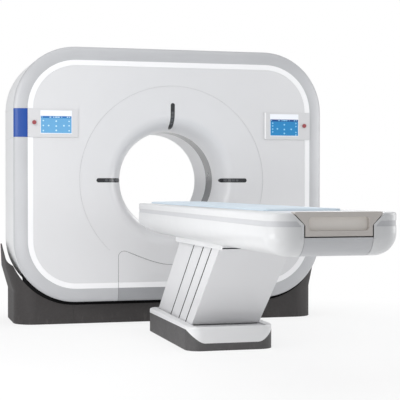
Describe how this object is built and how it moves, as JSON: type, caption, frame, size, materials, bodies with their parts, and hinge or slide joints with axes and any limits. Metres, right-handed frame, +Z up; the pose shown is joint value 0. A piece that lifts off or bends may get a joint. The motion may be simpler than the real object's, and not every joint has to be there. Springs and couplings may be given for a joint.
{
  "type": "ct scanner",
  "caption": "Whole-body computed tomography scanner: a ring-shaped gantry with a patient bore, and a lifting table whose cradle slides into it.",
  "frame": {"origin": "on the floor straight below the centre of the scan plane, at the middle of the gantry's floor anchors", "axes": "+Y along the bore from the patient table to the back of the gantry, +X to the gantry's right as its front is faced from the table, +Z up"},
  "size_m": [2.384, 4.12, 1.99],
  "materials": {
    "cover_white": "satin",
    "side_white": "satin",
    "ring_white": "satin, back-lit",
    "band_silver": "metallic satin",
    "band_grey": "satin",
    "base_grey": "matte",
    "seal_black": "matte",
    "plate_blue": "satin",
    "panel_grey": "satin",
    "screen_blue": "display",
    "button_red": "satin",
    "slot_grey": "tinted",
    "window_clear": "satin",
    "liner_white": "satin",
    "frame_steel": "matte",
    "cast_frame": "painted",
    "bearing_steel": "ground",
    "drum_alloy": "machined",
    "module_grey": "matte",
    "brass_rings": "machined",
    "belt_black": "matte",
    "table_white": "satin",
    "trim_grey": "satin",
    "end_grey": "satin",
    "cradle_white": "satin",
    "handle_beige": "satin",
    "grip_cream": "satin",
    "mattress_blue": "soft vinyl",
    "arm_white": "satin",
    "plinth_pale": "satin",
    "plinth_dark": "matte"
  },
  "bodies": {
    "gantry_and_bases": {"access_panel": "cover_white", "base_cover_front": "base_grey", "base_cover_left": "base_grey", "base_cover_rear": "base_grey", "base_cover_right": "base_grey", "base_frame": "frame_steel", "base_gasket": "seal_black", "bearing_outer_ring": "bearing_steel", "blue_plate": "plate_blue", "bore_liner": "liner_white", "brush_block": "module_grey", "control_panel_left": "panel_grey", "control_panel_right": "panel_grey", "drive_belt": "belt_black", "drive_motor": "module_grey", "front_bezel": "band_silver", "front_cover": "cover_white", "laser_windows": "slot_grey", "lift_actuator": "module_grey", "light_ring": "ring_white", "lower_bezel": "band_grey", "plinth_cover": "plinth_dark", "plinth_shell": "plinth_pale", "rear_cover": "side_white", "side_cover_left": "side_white", "side_cover_right": "side_white", "side_strips": "side_white", "stator_frame": "cast_frame", "table_base_frame": "frame_steel", "top_cover": "side_white", "touch_screens": "screen_blue", "window_ring": "window_clear"},
    "rotor": {"bearing_inner_ring": "bearing_steel", "rotor_drum": "drum_alloy", "x_ray_tube": "module_grey", "collimator": "module_grey", "tube_cooler": "module_grey", "hv_generator": "module_grey", "rotor_power_unit": "module_grey", "detector_arc": "module_grey", "slip_ring": "brass_rings"},
    "motor_rotor": {"motor_pulley": "bearing_steel"},
    "front_arm": {"lift_arm_front": "frame_steel", "arm_cover_1": "arm_white"},
    "rear_arm": {"lift_arm_rear": "frame_steel", "arm_cover_4": "arm_white"},
    "cover_2": {"arm_cover_2": "arm_white"},
    "cover_3": {"arm_cover_3": "arm_white"},
    "carriage": {"carriage_frame": "frame_steel", "table_body": "table_white", "table_end_cover": "end_grey", "side_trim": "trim_grey", "top_deck": "table_white", "cradle_drive": "module_grey"},
    "cradle": {"cradle": "cradle_white", "cradle_handle": "handle_beige", "grip_insert": "grip_cream", "mattress": "mattress_blue"},
    "stop_left": {"stop_button_left": "button_red"},
    "stop_right": {"stop_button_right": "button_red"}
  },
  "joints": [
    {"name": "rotor_spin", "type": "hinge", "parent": "gantry_and_bases", "child": "rotor", "pos_m": [0, 0, 1.035], "axis": [0, 1, 0], "continuous": true},
    {"name": "motor_spin", "type": "hinge", "parent": "gantry_and_bases", "child": "motor_rotor", "pos_m": [0.72, 0, 0.435], "axis": [0, 1, 0], "continuous": true},
    {"name": "table_lift", "type": "hinge", "parent": "gantry_and_bases", "child": "front_arm", "pos_m": [0, -1.568, 0.115], "axis": [-1, 0, 0], "range_deg": [-21, 8]},
    {"name": "rear_arm_swing", "type": "hinge", "parent": "gantry_and_bases", "child": "rear_arm", "pos_m": [0, -1.01, 0.115], "axis": [-1, 0, 0], "range_deg": [-21, 8]},
    {"name": "cover_2_swing", "type": "hinge", "parent": "gantry_and_bases", "child": "cover_2", "pos_m": [0, -1.431, 0.115], "axis": [-1, 0, 0], "range_deg": [-21, 8]},
    {"name": "cover_3_swing", "type": "hinge", "parent": "gantry_and_bases", "child": "cover_3", "pos_m": [0, -1.225, 0.115], "axis": [-1, 0, 0], "range_deg": [-21, 8]},
    {"name": "carriage_level", "type": "hinge", "parent": "front_arm", "child": "carriage", "pos_m": [0, -2.23479, 0.65496], "axis": [-1, 0, 0], "range_deg": [-8, 21]},
    {"name": "cradle_slide", "type": "slide", "parent": "carriage", "child": "cradle", "axis": [0, 1, 0], "range_m": [0, 1.7]},
    {"name": "stop_button_left_press", "type": "slide", "parent": "gantry_and_bases", "child": "stop_left", "axis": [0, 1, 0], "range_m": [0, 0.005], "stiffness_N_per_m": 800, "springref_m": -0.002},
    {"name": "stop_button_right_press", "type": "slide", "parent": "gantry_and_bases", "child": "stop_right", "axis": [0, 1, 0], "range_m": [0, 0.005], "stiffness_N_per_m": 800, "springref_m": -0.002}
  ],
  "couplings": [
    {"joint": "motor_spin", "follows": "rotor_spin", "ratio": 13},
    {"joint": "rear_arm_swing", "follows": "table_lift", "ratio": 1},
    {"joint": "cover_2_swing", "follows": "table_lift", "ratio": 1},
    {"joint": "cover_3_swing", "follows": "table_lift", "ratio": 1},
    {"joint": "carriage_level", "follows": "table_lift", "ratio": -1}
  ]
}
